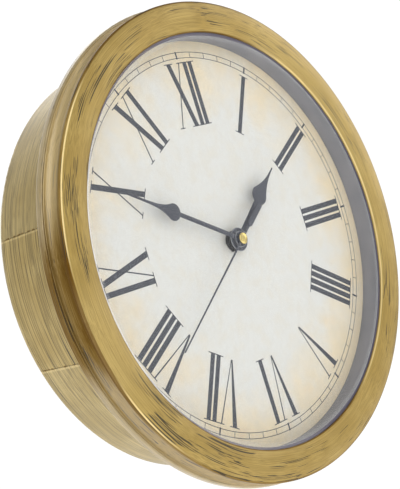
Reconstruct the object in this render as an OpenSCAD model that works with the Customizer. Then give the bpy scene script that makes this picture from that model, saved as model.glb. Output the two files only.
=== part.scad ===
// Wall clock safe: a round wall clock whose whole front is a door on a shallow case with shelves.
// Pieces are drawn lying down, with x to the right, y up the wall and z out from the wall,
// and face_front() stands them up so that the dial faces -Y and the wall is the plane Y = 0.

/* [Overall] */
// Radius of the door's rim, the widest part of the clock
rim_r = 125; // [116:0.5:140]
// Depth of the drum from the wall to its front edge
case_depth = 48.7; // [46:0.1:70]

/* [Case] */
// Reach of the door's rim past the drum's open front
rim_overhang = 14; // [12:0.5:16]
// Narrowing of the drum's radius from its front to the wall
case_draft = 1.8; // [0.4:0.2:4]
// Thickness of the drum's side wall
case_wall = 3; // [2.4:0.1:4]
// Thickness of the drum's back
back_t = 3; // [2:0.1:5]
// Rounding of the drum's rear edge
case_edge_r = 3; // [1:0.1:4]
// Gap between the drum's front edge and the closed door
door_gap = 0.3; // [0.2:0.05:1]

/* [Keyhole] */
// Distance of the keyhole's round end below the drum's top
keyhole_inset = 31.2; // [28:0.2:40]
// Radius of the round end, which a screw head passes
keyhole_head_r = 4.5; // [4:0.1:6]
// Radius of the slot, which a screw shank fits
keyhole_slot_r = 2.3; // [1.8:0.1:3]
// Rise from the round end to the top of the slot's travel
keyhole_rise = 9; // [7:0.5:12]

/* [Shelves] */
// Gap between the hinge panel's flange and the shelf rails
shelf_clear = 1.35; // [0.5:0.05:8]
// Thickness of a shelf
shelf_t = 2.5; // [1.5:0.1:4]
// Gap round a shelf in its rails
shelf_fit = 0.15; // [0.1:0.05:0.5]
// Distance of the shelves behind the drum's front edge
shelf_setback = 3; // [1:0.5:10]
// Thickness of a shelf rail
rail_t = 1.6; // [1:0.1:2]
// Reach of a shelf rail from the wall
rail_w = 6; // [4:0.5:12]

/* [Hinge panel] */
// Half the angle of the drum's wall that the panel takes up
panel_half_angle = 17.4; // [16:0.1:18]
// Gap round the panel
panel_gap = 0.2; // [0.1:0.05:0.5]
// Height of the panel's lower edge over the wall
panel_floor_h = 4; // [3.5:0.5:8]
// Thickness of the flange behind the panel's seams
flange_t = 2.4; // [1.6:0.1:3]
// Angle by which the flange passes each seam
flange_overlap = 3; // [2.8:0.1:3.2]
// Gap between the flange and the drum's wall
flange_gap = 0.1; // [0.05:0.05:0.3]
// Radius of a panel screw's shank
panel_screw_r = 1.2; // [0.8:0.1:1.4]
// Radius of a panel screw's head
panel_screw_head_r = 2.4; // [1.8:0.1:2.6]
// Thickness of a panel screw's head
panel_screw_head_t = 1.4; // [1:0.1:2]
// Depth that a panel screw bites into the drum's wall
panel_screw_bite = 2; // [1:0.1:2.2]
// Distance of the panel screws from the flange's ends
panel_screw_inset = 9; // [4:0.5:14]

/* [Hinge] */
// Radius of the knuckles
knuckle_r = 3.2; // [2.6:0.1:3.6]
// Gap between the knuckles and the drum
knuckle_clear = 0.8; // [0.5:0.1:1.2]
// Gap between the fixed knuckle and the door, and between neighbouring knuckles
knuckle_gap = 0.3; // [0.2:0.05:0.5]
// Length of the fixed knuckle
fixed_knuckle_l = 24; // [16:1:28]
// Length of each of the door's two knuckles
door_knuckle_l = 12; // [8:0.5:13]
// Radius of the hinge pin
hinge_pin_r = 1.25; // [1:0.05:1.6]
// Radial gap between the hinge pin and its bores
hinge_pin_fit = 0.05; // [0.02:0.01:0.1]
// Radius of the hinge pin's head
hinge_pin_head_r = 2.3; // [2:0.1:2.6]
// Thickness of the hinge pin's head
hinge_pin_head_t = 1.2; // [0.8:0.1:2]

/* [Catch] */
// Distance of the magnet's axis inside the drum's front edge
catch_inset = 14; // [13:0.5:18]
// Radius of the magnet
magnet_r = 5; // [3:0.5:6]
// Thickness of the magnet
magnet_t = 5; // [3:0.5:8]
// Gap between the magnet and its pocket
magnet_fit = 0.05; // [0.02:0.01:0.1]
// Wall round and behind the magnet
magnet_wall = 2.5; // [1.5:0.1:3]
// Gap between the magnet and the closed door's strike plate
catch_gap = 0.3; // [0.2:0.05:1]
// Radius of the strike plate
strike_r = 7; // [4:0.5:8]
// Thickness of the strike plate
strike_t = 1; // [0.6:0.1:1.5]

/* [Door] */
// Thickness of the door's back plate at its rim
rim_t = 4; // [3.4:0.1:6]
// Rounding of the rim's edges
rim_edge_r = 1; // [0.4:0.1:1.6]
// Thickness of the back plate behind the dial
door_skin = 2.5; // [2:0.1:3.2]
// Number of screws that hold the bezel
door_screw_count = 6; // [6:2:10]
// Distance of the screws outside the inlay's seat
door_screw_inset = 4; // [3.2:0.1:4.5]
// Radius of a screw's shank
door_screw_r = 1.5; // [1:0.1:1.8]
// Radius of a screw's countersunk head
door_screw_head_r = 2.8; // [2.2:0.1:3]
// Depth of a screw's countersunk head
door_screw_head_t = 1.8; // [1.2:0.1:2.4]
// Length of a screw
door_screw_l = 10; // [7:0.5:11]
// Gap round a screw
door_screw_fit = 0.05; // [0.02:0.01:0.1]

/* [Bezel] */
// Step from the door's rim in to the bezel's front edge
rim_step = 1; // [0.7:0.1:2]
// Width of the bezel's face
bezel_w = 16.4; // [15.8:0.1:17.2]
// Height of the bezel's crown over the rim
bezel_h = 13.5; // [13.3:0.1:15]
// Fall of the bezel's face from its crown to its edges
crown_drop = 2; // [1.8:0.1:2.2]
// Radius of the round bead along the front edge
bead_r = 1.3; // [1:0.1:1.5]
// Radius of the cove round the bezel's side
cove_r = 4.4; // [3:0.1:4.4]
// Thickness of the bezel's foot under the cove
foot_t = 0.8; // [0.4:0.1:1]
// Depth from the lens seat to the rim
lens_seat_h = 10.5; // [10.4:0.1:11]

/* [Lens and dial] */
// Lap of the bezel over the edge of the lens
lens_lap = 3.4; // [2.8:0.1:3.6]
// Gap round the inlaid pieces
inlay_fit = 0.3; // [0.1:0.05:0.4]
// Thickness of the lens
lens_t = 1.6; // [1.2:0.1:1.8]
// Width of the bevel that shows along the lens edge
bevel_w = 3.5; // [2:0.1:5]
// Depth of the lens bevel
bevel_t = 0.7; // [0.3:0.1:1]
// Reach of the spacer ring inside the window, at the dial
spacer_reach = 0.9; // [0.7:0.1:2.4]
// Outward slope of the spacer ring's inside, dial to lens
spacer_draft = 0.6; // [0.2:0.1:1]
// Thickness of the dial
dial_t = 0.8; // [0.5:0.1:1]

/* [Hands] */
// Angle of the hour hand from twelve
hour_angle = 54; // [0:1:359]
// Angle of the minute hand from twelve
minute_angle = 298; // [0:1:359]
// Angle of the second hand from twelve
second_angle = 236; // [0:1:359]
// Reach of the hour hand
hour_hand_l = 54; // [46:0.5:60]
// Distance of the hour hand's spade from the middle
hour_spade_at = 32; // [26:0.5:36]
// Radius of the hour hand's spade
hour_spade_r = 5.2; // [4:0.1:6]
// Width of the hour hand's stem
hour_stem_w = 2.9; // [2:0.1:3.5]
// Reach of the minute hand
minute_hand_l = 78; // [70:0.5:94]
// Distance of the minute hand's spade from the middle
minute_spade_at = 47.5; // [36:0.5:55]
// Radius of the minute hand's spade
minute_spade_r = 4.4; // [3:0.1:5]
// Width of the minute hand's stem
minute_stem_w = 2.3; // [1.6:0.1:3]
// Reach of the second hand
second_hand_l = 77.5; // [60:0.5:94]
// Width of the second hand's needle
needle_w = 1; // [0.8:0.1:1.4]
// Reach of the second hand's tail
tail_l = 25.5; // [20:0.5:32]
// Reach of the thin part of the tail
tail_neck_l = 9; // [7:0.5:14]
// Width of the tail's paddle
tail_w = 3.2; // [2:0.1:4]
// Width of a spade hand's tip
hand_tip_w = 0.6; // [0.4:0.1:1]
// Thickness of the hands
hand_t = 0.5; // [0.3:0.05:0.6]
// Radius of the hour hand's hub
hour_hub_r = 6.2; // [5:0.1:7]
// Radius of the minute hand's hub
minute_hub_r = 4.2; // [3:0.1:5]
// Radius of the cap on the second hand
cap_r = 3; // [2:0.1:3.4]
// Height of the cap on the second hand
cap_h = 1.1; // [0.8:0.1:1.2]

/* [Movement] */
// Depth of the movement's housing
movement_d = 16; // [16:0.1:20]
// Thickness of the housing's walls
movement_wall = 1.5; // [1.2:0.1:1.8]
// Thickness of the washer that seals the housing to the door
seal_t = 1; // [0.5:0.1:1.5]
// Outer radius of the threaded bush
bush_r = 4; // [3.6:0.1:4.4]
// Gap between the bush and the holes that it passes
bush_fit = 0.2; // [0.1:0.05:0.4]
// Thickness of the nut's washer
nut_washer_t = 0.5; // [0.3:0.1:0.8]
// Thickness of the nut on the bush
nut_t = 2.8; // [2:0.1:3]
// Width of the nut across its flats
nut_w = 10.4; // [10:0.1:11]
// Centre distance of the wheels
train_d = 9; // [9:0.1:9.4]
// Thickness of a wheel
wheel_t = 0.6; // [0.4:0.05:0.8]
// Distance between the wheels' levels
level_step = 1.5; // [1.4:0.05:1.6]
// Reach of a pinion past the faces of the wheel that it meets
pinion_over = 0.25; // [0.1:0.05:0.3]
// Radius of the wheels' pivots
pivot_r = 0.5; // [0.4:0.05:0.55]
// Radial gap between shafts and their bores
pivot_fit = 0.05; // [0.03:0.01:0.08]
// Radius of the setting knob
knob_r = 4.5; // [3:0.1:4.8]
// Thickness of the setting knob
knob_t = 2.4; // [1.5:0.1:3]
// Radius of the battery
battery_r = 7.1; // [6.9:0.05:7.2]
// Length of the battery's can
battery_l = 48; // [46:0.5:48.5]
// Spare length in the battery's bay
bay_spare = 2.6; // [1.6:0.1:6]

/* [Hidden] */
$fn = 96;
over = 1;

gold = "#a68a4a";
black = "#26262a";
slate = "#50545e";
cream = "#e6e2d4";
grey = "#8e9098";
ivory = "#ddd6c0";
steel = "#a9adb2";
brass = "#c9a44c";
copper = "#a8623a";

// Heights over the wall
door_h = case_depth + door_gap;
rim_top = door_h + rim_t;
dial_back_h = door_h + door_skin;
dial_h = dial_back_h + dial_t;
lens_front_h = rim_top + lens_seat_h;
lens_back_h = lens_front_h - lens_t;
crown_h = rim_top + bezel_h;

// Radii of the door's pieces, from its rim inwards
bezel_edge_r = rim_r - rim_step;
window_r = bezel_edge_r - bezel_w;
inlay_r = window_r + lens_lap;
seat_r = inlay_r + inlay_fit;
spacer_r = window_r - spacer_reach;
door_screw_circle = seat_r + door_screw_inset;

// Radii of the drum, and of its outer and inner faces at a height
case_front_r = rim_r - rim_overhang;
case_rear_r = case_front_r - case_draft;
function drum_r(h) = case_front_r - case_draft * (case_depth - h) / (case_depth - case_edge_r);
function bore_r(h) = drum_r(h) - case_wall;
keyhole_z = case_rear_r - keyhole_inset;
catch_x = case_front_r - catch_inset;

// Hinge axis, outside the drum and just behind the door
hinge_x = case_front_r + knuckle_clear + knuckle_r;
hinge_h = door_h - knuckle_gap - knuckle_r;
hinge_half_l = fixed_knuckle_l / 2 + knuckle_gap + door_knuckle_l;

// Shelves keep clear of the hinge panel and reach the drum's wall where it is narrowest
flange_half_l = bore_r(case_depth) * sin(panel_half_angle + flange_overlap);
shelf_z = flange_half_l + shelf_clear + rail_t + shelf_fit + shelf_t / 2;
shelf_half_l = sqrt(pow(bore_r(back_t), 2) - pow(shelf_z + shelf_t / 2, 2)) - shelf_fit;
shelf_front_h = case_depth - shelf_setback;

magnet_front_h = door_h - strike_t - catch_gap;
holder_half_w = magnet_r + magnet_wall;

panel_screw_angle = panel_half_angle + flange_overlap / 2;
panel_screw_heights = [panel_floor_h + panel_screw_inset, shelf_front_h - panel_screw_inset];

// Movement heights, from its rear face to the tips of its shafts
movement_front_h = door_h - seal_t;
movement_rear_h = movement_front_h - movement_d;
plate_h = movement_front_h - movement_wall;
cover_h = movement_rear_h + movement_wall;
bay_y = -10.6;
bay_wall = 1;
bay_fit = 0.35;
bush_spare = 0.7;
hour_hand_gap = 0.4;
hand_gap = 0.8;
hand_stub = 0.2;
nut_h = dial_h + nut_washer_t;
bush_front_h = nut_h + nut_t + bush_spare;
hour_hand_h = bush_front_h + hour_hand_gap;
minute_hand_h = hour_hand_h + hand_t + hand_gap;
second_hand_h = minute_hand_h + hand_t + hand_gap;

// Shafts inside one another at the middle
second_shaft_r = 0.75;
minute_bore_r = second_shaft_r + pivot_fit;
minute_shaft_r = 1.7;
minute_shoulder_r = 2.3;
minute_shoulder_t = 0.3;
hour_bore_r = minute_shaft_r + pivot_fit;
hour_shaft_r = 2.55;
bush_bore_r = hour_shaft_r + pivot_fit;
knob_shaft_r = 1;
knurl_count = 30;
seal_r = 9.6;

// Level of each wheel, counted from the cover
first_level = 0.7;
function level(k) = cover_h + first_level + k * level_step;
middle_level = level(4);

// Tooth counts of each meshing pair, driver first
rotor_teeth = 10;
intermediate_teeth = 60;
intermediate_pinion_teeth = 12;
second_teeth = 60;
second_pinion_teeth = 8;
third_teeth = 60;
third_pinion_teeth = 8;
clutch_teeth = 64;
cannon_teeth = 12;
motion_teeth = 36;
motion_pinion_teeth = 10;
hour_teeth = 40;
setting_teeth = 18;

// Directions from one axis to the next, and the axes that follow from them
third_dir = 150;
intermediate_dir = 60;
motion_dir = 0;
setting_dir = -30;
rotor_dir = 30;
function polar(r, a) = [r * cos(a), r * sin(a)];
// Pitch radius of a gear that meets another at a given distance
function pitch_r(teeth, other, distance) = distance * teeth / (teeth + other);
rotor_d = 8.8;
third_at = polar(train_d, third_dir);
intermediate_at = polar(train_d, intermediate_dir);
motion_at = polar(train_d, motion_dir);
motion_pitch_r = pitch_r(motion_teeth, cannon_teeth, train_d);
setting_pitch_r = motion_pitch_r * setting_teeth / motion_teeth;
setting_at = motion_at + polar(motion_pitch_r + setting_pitch_r, setting_dir);
rotor_at = intermediate_at + polar(rotor_d, rotor_dir);

// Turn of a gear that puts its gap against a tooth of the gear before it, which lies the other way
// along dir
function mesh_phase(phase, teeth, next_teeth, dir) =
    dir + 180 + 360 / next_teeth * (0.5 - (phase - dir) * teeth / 360);
motion_phase = mesh_phase(0, cannon_teeth, motion_teeth, motion_dir);

// Lavet motor: the stator's hole round the rotor, its arms and the coil across them
rotor_magnet_r = 2.6;
rotor_magnet_t = 1.4;
stator_gap = 0.5;
stator_t = 0.8;
stator_lift = 0.3;
stator_h = level(2) + wheel_t + stator_lift;
rotor_magnet_h = stator_h + stator_t / 2 - rotor_magnet_t / 2;
stator_ring_r = 5.2;
stator_bar_w = 6.4;
arm_w = 5;
coil_r = 3.4;
coil_gap = 0.8;
coil_inset = 1;
coil_y = rotor_at[1] + stator_ring_r + coil_gap + coil_r;
coil_clear = 1.5;
core_w = 4;
core_t = 0.8;

battery_gap = 0.1;
battery_y = bay_y - bay_wall - bay_fit - battery_r;
battery_h = plate_h - battery_r - battery_gap;
nub_r = 2.7;
nub_l = 1.4;
contact_t = 0.4;
contact_w = 8;

// The housing is as wide as the battery and its contacts need, and reaches from the bay to the coil
movement_w = battery_l + nub_l + 2 * (contact_t + battery_gap + movement_wall) + bay_spare;
movement_low = -battery_y + battery_r + bay_fit + movement_wall;
movement_top = coil_y + coil_r + coil_clear + movement_wall;
arm_left_x = -3;
arm_gap = 2;
arm_right_x = movement_w / 2 - movement_wall - arm_gap - arm_w;

// Posts that carry the middle plate and the circuit board
right_post_gap = 5.5;
plate_posts = [[-12, 11], [-12, -7], [movement_w / 2 - movement_wall - right_post_gap, 7]];
post_r = 1.4;
plate_margin = 2.8;
stator_spacers = [[arm_left_x + post_r, rotor_at[1]], [arm_right_x + arm_w - post_r, rotor_at[1]]];
board_w = 8;
board_gap = 1.2;
board_x = -movement_w / 2 + movement_wall + board_gap;
board_y = [-8, 22];
board_posts_y = [-5, 19];
board_t = 1;
board_h = level(5);

module face_front() {
    rotate([90, 0, 0]) children();
}

module ring(r, bore, h, t) {
    translate([0, 0, h]) difference() {
        cylinder(r = r, h = t);
        translate([0, 0, -over]) cylinder(r = bore, h = t + 2 * over);
    }
}

module rod(at, r, low, high) {
    translate([at[0], at[1], low]) cylinder(r = r, h = high - low);
}

// Outline of the drum as a solid, half of its section
module drum_section() {
    polygon([
        [0, 0], [case_rear_r - case_edge_r, 0], [case_rear_r - case_edge_r, case_edge_r],
        [case_rear_r, case_edge_r], [case_front_r, case_depth], [0, case_depth]
    ]);
    intersection() {
        translate([case_rear_r - case_edge_r, case_edge_r]) circle(case_edge_r);
        translate([case_rear_r - case_edge_r, 0]) square(case_edge_r);
    }
}

// Space inside the drum, reaching a little way into the wall when sink is not zero
module drum_space(low, sink) {
    polygon([
        [0, low], [bore_r(low) + sink, low], [bore_r(case_depth + over) + sink, case_depth + over],
        [0, case_depth + over]
    ]);
}

// Wedge about the left-hand horizontal, from a height upwards; shrink moves its two faces inwards
module side_wedge(half_angle, low, shrink) {
    reach = 2 * case_front_r;
    translate([-shrink / sin(half_angle), 0, low])
        linear_extrude(case_depth)
            polygon([[0, 0], [-reach, reach * tan(half_angle)], [-reach, -reach * tan(half_angle)]]);
}

// Places a panel screw at each corner of the hinge panel, with z pointing out through the wall
module at_panel_screws() {
    for (side = [-1, 1], h = panel_screw_heights)
        rotate(180 + side * panel_screw_angle)
            translate([bore_r(h) - flange_t - flange_gap, 0, h])
                rotate([0, 90, 0]) children();
}

// Places a screw of the bezel at each point of its circle
module at_door_screws() {
    for (k = [0 : door_screw_count - 1])
        rotate((k + 0.5) * 360 / door_screw_count)
            translate([door_screw_circle, 0, door_h]) children();
}

// A rod along the hinge axis between two heights of the wall
module hinge_rod(r, low, high) {
    translate([-hinge_x, high, hinge_h]) rotate([90, 0, 0]) cylinder(r = r, h = high - low);
}

module keyhole() {
    t = back_t + 2 * over;
    translate([0, keyhole_z, -over]) {
        cylinder(r = keyhole_head_r, h = t);
        translate([-keyhole_slot_r, 0, 0]) cube([2 * keyhole_slot_r, keyhole_rise, t]);
        translate([0, keyhole_rise, 0]) cylinder(r = keyhole_slot_r, h = t);
    }
}

module shelf_rails() {
    rail_y = (shelf_t + rail_t) / 2 + shelf_fit;
    for (shelf = [-shelf_z, shelf_z], side = [-1, 1], edge = [-1, 1])
        translate([side * shelf_half_l, shelf + edge * rail_y, shelf_front_h / 2])
            cube([2 * rail_w, rail_t, shelf_front_h], center = true);
}

// The magnet's holder stands in from the right-hand wall
module magnet_holder() {
    h = magnet_t + magnet_wall;
    translate([catch_x - holder_half_w, -holder_half_w, magnet_front_h - h])
        cube([3 * holder_half_w, 2 * holder_half_w, h]);
}

module rear_case() {
    color(gold) face_front() difference() {
        union() {
            rotate_extrude() difference() {
                drum_section();
                drum_space(back_t, 0);
            }
            intersection() {
                rotate_extrude() drum_space(back_t / 2, case_wall / 2);
                union() {
                    shelf_rails();
                    magnet_holder();
                }
            }
        }
        side_wedge(panel_half_angle, panel_floor_h, 0);
        keyhole();
        translate([catch_x, 0, magnet_front_h - magnet_t])
            cylinder(r = magnet_r + magnet_fit, h = magnet_t + over);
        at_panel_screws()
            cylinder(r = panel_screw_r + flange_gap, h = flange_t + flange_gap + panel_screw_bite);
    }
}

module hinge_panel() {
    low = panel_floor_h + panel_gap;
    color(gold) face_front() difference() {
        union() {
            intersection() {
                rotate_extrude() difference() {
                    drum_section();
                    drum_space(0, -flange_t);
                }
                side_wedge(panel_half_angle, low, panel_gap);
            }
            intersection() {
                rotate_extrude() difference() {
                    drum_space(low, -flange_gap);
                    drum_space(0, -flange_t);
                    translate([0, shelf_front_h]) square(2 * case_front_r);
                }
                side_wedge(panel_half_angle + flange_overlap, low, panel_gap);
            }
            hinge_rod(knuckle_r, -fixed_knuckle_l / 2, fixed_knuckle_l / 2);
            translate([-hinge_x, -fixed_knuckle_l / 2, hinge_h - knuckle_r])
                cube([hinge_x - case_front_r + case_wall, fixed_knuckle_l, 2 * knuckle_r]);
        }
        hinge_rod(hinge_pin_r + hinge_pin_fit, -hinge_half_l, hinge_half_l);
        at_panel_screws()
            translate([0, 0, -over]) cylinder(r = panel_screw_r + flange_gap, h = flange_t + 2 * over);
    }
}

module hinge_panel_screws() {
    color(steel) face_front() at_panel_screws() {
        translate([0, 0, -panel_screw_head_t]) cylinder(r = panel_screw_head_r, h = panel_screw_head_t);
        cylinder(r = panel_screw_r, h = flange_t + flange_gap + panel_screw_bite);
    }
}

module hinge_pin() {
    top = hinge_half_l + knuckle_gap;
    color(steel) face_front() {
        hinge_rod(hinge_pin_r, -top, top);
        hinge_rod(hinge_pin_head_r, top, top + hinge_pin_head_t);
    }
}

module shelf(y) {
    color(black) face_front()
        translate([-shelf_half_l, y - shelf_t / 2, back_t])
            cube([2 * shelf_half_l, shelf_t, shelf_front_h - back_t]);
}

module upper_shelf() {
    shelf(shelf_z);
}

module lower_shelf() {
    shelf(-shelf_z);
}

module catch_magnet() {
    color(steel) face_front() rod([catch_x, 0], magnet_r, magnet_front_h - magnet_t, magnet_front_h);
}

module strike_plate() {
    color(steel) face_front() rod([catch_x, 0], strike_r, door_h - strike_t, door_h);
}

module door_back() {
    color(gold) face_front() difference() {
        union() {
            rotate_extrude() {
                translate([0, door_h]) square([rim_r - rim_edge_r, rim_t]);
                translate([0, door_h + rim_edge_r]) square([rim_r, rim_t - 2 * rim_edge_r]);
                for (h = [door_h + rim_edge_r, rim_top - rim_edge_r])
                    translate([rim_r - rim_edge_r, h]) circle(rim_edge_r);
            }
            for (side = [-1, 1]) {
                middle = side * ((fixed_knuckle_l + door_knuckle_l) / 2 + knuckle_gap);
                low = middle - door_knuckle_l / 2;
                hinge_rod(knuckle_r, low, low + door_knuckle_l);
                translate([-hinge_x - knuckle_r, low, hinge_h])
                    cube([2 * knuckle_r, door_knuckle_l, door_h - hinge_h + door_skin / 2]);
            }
        }
        translate([0, 0, dial_back_h]) cylinder(r = seat_r, h = rim_t);
        translate([0, 0, door_h - over]) cylinder(r = bush_r + bush_fit, h = rim_t);
        hinge_rod(hinge_pin_r + hinge_pin_fit, -hinge_half_l - over, hinge_half_l + over);
        at_door_screws() door_screw(door_screw_fit, over);
    }
}

// A countersunk screw seen from behind the door, grown by a gap all round, its cone carried on below
module door_screw(grow, below) {
    shank_r = door_screw_r + grow;
    flare = (door_screw_head_r - door_screw_r) * (1 + below / door_screw_head_t);
    translate([0, 0, -below]) cylinder(r1 = shank_r + flare, r2 = shank_r, h = door_screw_head_t + below);
    cylinder(r = shank_r, h = door_screw_l + grow);
}

module door_screws() {
    color(steel) face_front() at_door_screws() door_screw(0, 0);
}

// Points along an arc about a centre, from one angle to another
function arc(centre, r, from, to, steps) =
    [for (k = [0 : steps]) centre + polar(r, from + (to - from) * k / steps)];

// Section of the bezel: foot, hollow cove, rounded front edge, crowned face, and the inlay's seat
module bezel_section() {
    half_w = bezel_w / 2;
    crown_r = (half_w * half_w + crown_drop * crown_drop) / (2 * crown_drop);
    crown_at = [window_r + half_w, crown_h - crown_r];
    cove_at = [bezel_edge_r, rim_top + foot_t + cove_r];
    bead_x = bezel_edge_r - bead_r - crown_at[0];
    bead_y = sqrt(pow(crown_r - bead_r, 2) - bead_x * bead_x);
    edge_angle = atan2(bead_y, bead_x);
    window_angle = 180 - acos(half_w / crown_r);
    polygon(concat(
        [[seat_r, rim_top], [bezel_edge_r, rim_top]],
        arc(cove_at, cove_r, 270, 90, 16),
        arc(crown_at + [bead_x, bead_y], bead_r, 0, edge_angle, 5),
        arc(crown_at, crown_r, edge_angle, window_angle, 14),
        [[window_r, lens_front_h], [seat_r, lens_front_h]]
    ));
}

module bezel() {
    color(gold) face_front() difference() {
        rotate_extrude() bezel_section();
        at_door_screws() cylinder(r = door_screw_r + door_screw_fit, h = door_screw_l + door_screw_fit);
    }
}

module lens() {
    color("#dfe8ea", 0.3) face_front() rotate_extrude() polygon([
        [0, lens_back_h], [inlay_r, lens_back_h], [inlay_r, lens_front_h], [window_r, lens_front_h],
        [window_r, lens_front_h - bevel_t], [window_r - bevel_w, lens_front_h], [0, lens_front_h]
    ]);
}

module spacer_ring() {
    color(grey) face_front() rotate_extrude() polygon([
        [spacer_r, dial_h], [inlay_r, dial_h], [inlay_r, lens_back_h], [spacer_r + spacer_draft, lens_back_h]
    ]);
}

module dial() {
    color(cream) face_front() ring(inlay_r, bush_r + bush_fit, dial_back_h, dial_t);
}

// A toothed wheel or pinion: straight-sided teeth, one of them centred on the turn given by phase
module gear(teeth, pitch, t, phase) {
    tooth = 2 * pitch / teeth;
    step = 360 / teeth;
    root = [pitch - 1.15 * tooth, 0.3 * step];
    tip = [pitch + 0.75 * tooth, 0.11 * step];
    linear_extrude(t) rotate(phase) polygon([
        for (k = [0 : teeth - 1])
            each [
                polar(root[0], k * step - root[1]), polar(tip[0], k * step - tip[1]),
                polar(tip[0], k * step + tip[1]), polar(root[0], k * step + root[1])
            ]
    ]);
}

// A wheel at its level
module wheel(at, k, teeth, pitch, phase) {
    translate([at[0], at[1], level(k)]) gear(teeth, pitch, wheel_t, phase);
}

// A pinion that meets the wheel of a level and passes both of its faces
module pinion(at, k, teeth, pitch, phase) {
    translate([at[0], at[1], level(k) - pinion_over]) gear(teeth, pitch, wheel_t + 2 * pinion_over, phase);
}

// Shafts whose ends turn in the cover and in the middle plate
module rear_arbor(at) {
    rod(at, pivot_r, cover_h - movement_wall / 2, middle_level + wheel_t);
}

module rotor() {
    pitch = pitch_r(rotor_teeth, intermediate_teeth, rotor_d);
    color(steel) face_front() {
        rear_arbor(rotor_at);
        rod(rotor_at, rotor_magnet_r, rotor_magnet_h, rotor_magnet_h + rotor_magnet_t);
        pinion(rotor_at, 1, rotor_teeth, pitch, mesh_phase(0, intermediate_teeth, rotor_teeth, rotor_dir));
    }
}

module intermediate_wheel() {
    pitch = pitch_r(intermediate_teeth, rotor_teeth, rotor_d);
    pinion_pitch = pitch_r(intermediate_pinion_teeth, second_teeth, train_d);
    phase = mesh_phase(0, second_teeth, intermediate_pinion_teeth, intermediate_dir);
    color(ivory) face_front() {
        rear_arbor(intermediate_at);
        pinion(intermediate_at, 0, intermediate_pinion_teeth, pinion_pitch, phase);
        rod(intermediate_at, pinion_pitch / 2, level(0), level(1));
        wheel(intermediate_at, 1, intermediate_teeth, pitch, 0);
    }
}

module second_wheel() {
    pitch = pitch_r(second_teeth, intermediate_pinion_teeth, train_d);
    pinion_pitch = pitch_r(second_pinion_teeth, third_teeth, train_d);
    color(ivory) face_front() {
        rod([0, 0], second_shaft_r, cover_h - movement_wall / 2, second_hand_h + hand_t);
        wheel([0, 0], 0, second_teeth, pitch, 0);
        pinion([0, 0], 2, second_pinion_teeth, pinion_pitch, 0);
    }
}

module third_wheel() {
    pitch = pitch_r(third_teeth, second_pinion_teeth, train_d);
    pinion_pitch = pitch_r(third_pinion_teeth, clutch_teeth, train_d);
    color(ivory) face_front() {
        rear_arbor(third_at);
        wheel(third_at, 2, third_teeth, pitch, mesh_phase(0, second_pinion_teeth, third_teeth, third_dir));
        rod(third_at, pinion_pitch / 2, level(2), level(3));
        pinion(third_at, 3, third_pinion_teeth, pinion_pitch, 0);
    }
}

// The clutch wheel slips on the minute arbor when the time is set
module clutch_wheel() {
    pitch = pitch_r(clutch_teeth, third_pinion_teeth, train_d);
    phase = mesh_phase(0, third_pinion_teeth, clutch_teeth, third_dir + 180);
    color(ivory) face_front() difference() {
        wheel([0, 0], 3, clutch_teeth, pitch, phase);
        rod([0, 0], minute_shaft_r + pivot_fit, level(2), level(4));
    }
}

module minute_arbor() {
    shoulder_h = level(3) - pivot_fit - minute_shoulder_t;
    pitch = pitch_r(cannon_teeth, motion_teeth, train_d);
    color(brass) face_front() difference() {
        union() {
            rod([0, 0], minute_shaft_r, shoulder_h, minute_hand_h + hand_t + hand_stub);
            rod([0, 0], minute_shoulder_r, shoulder_h, shoulder_h + minute_shoulder_t);
            pinion([0, 0], 5, cannon_teeth, pitch, 0);
        }
        rod([0, 0], minute_bore_r, shoulder_h - over, minute_hand_h + 2 * over);
    }
}

module motion_wheel() {
    pinion_pitch = pitch_r(motion_pinion_teeth, hour_teeth, train_d);
    color(ivory) face_front() {
        rod(motion_at, pivot_r, middle_level, plate_h + movement_wall / 2);
        wheel(motion_at, 5, motion_teeth, motion_pitch_r, motion_phase);
        rod(motion_at, pinion_pitch / 2, level(5), level(6));
        pinion(motion_at, 6, motion_pinion_teeth, pinion_pitch, 0);
    }
}

module hour_wheel() {
    pitch = pitch_r(hour_teeth, motion_pinion_teeth, train_d);
    phase = mesh_phase(0, motion_pinion_teeth, hour_teeth, motion_dir + 180);
    color(ivory) face_front() difference() {
        union() {
            wheel([0, 0], 6, hour_teeth, pitch, phase);
            rod([0, 0], hour_shaft_r, level(6), hour_hand_h + hand_t + hand_stub);
        }
        rod([0, 0], hour_bore_r, level(5), hour_hand_h + 2 * over);
    }
}

module setting_knob() {
    phase = mesh_phase(motion_phase, motion_teeth, setting_teeth, setting_dir);
    knob_h = movement_rear_h - pivot_fit - knob_t;
    color(black) face_front() {
        rod(setting_at, knob_shaft_r, knob_h, level(5) + wheel_t);
        rod(setting_at, pivot_r, level(5), plate_h + movement_wall / 2);
        pinion(setting_at, 5, setting_teeth, setting_pitch_r, phase);
        translate([setting_at[0], setting_at[1], knob_h]) gear(knurl_count, knob_r, knob_t, 0);
    }
}

// Outline of the housing between two heights, with its sides moved in
module housing_block(inset, low, high) {
    translate([-movement_w / 2 + inset, -movement_low + inset, low])
        cube([movement_w - 2 * inset, movement_low + movement_top - 2 * inset, high - low]);
}

// The housing's front: plate, side walls, battery bay, posts and the bush round the hands' shafts
module movement_base() {
    color(black) face_front() difference() {
        union() {
            difference() {
                housing_block(0, cover_h, movement_front_h);
                housing_block(movement_wall, cover_h - over, plate_h);
            }
            translate([-movement_w / 2, bay_y - bay_wall, cover_h])
                cube([movement_w, bay_wall, plate_h - cover_h]);
            for (at = plate_posts)
                rod(at, post_r, middle_level + wheel_t, plate_h);
            for (y = board_posts_y)
                rod([board_x + board_w / 2, y], post_r, board_h + board_t, plate_h);
            rod([0, 0], bush_r, plate_h, bush_front_h);
        }
        rod([0, 0], bush_bore_r, plate_h - over, bush_front_h + over);
        for (at = [motion_at, setting_at])
            rod(at, pivot_r + pivot_fit, plate_h - over, plate_h + movement_wall / 2 + pivot_fit);
    }
}

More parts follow.
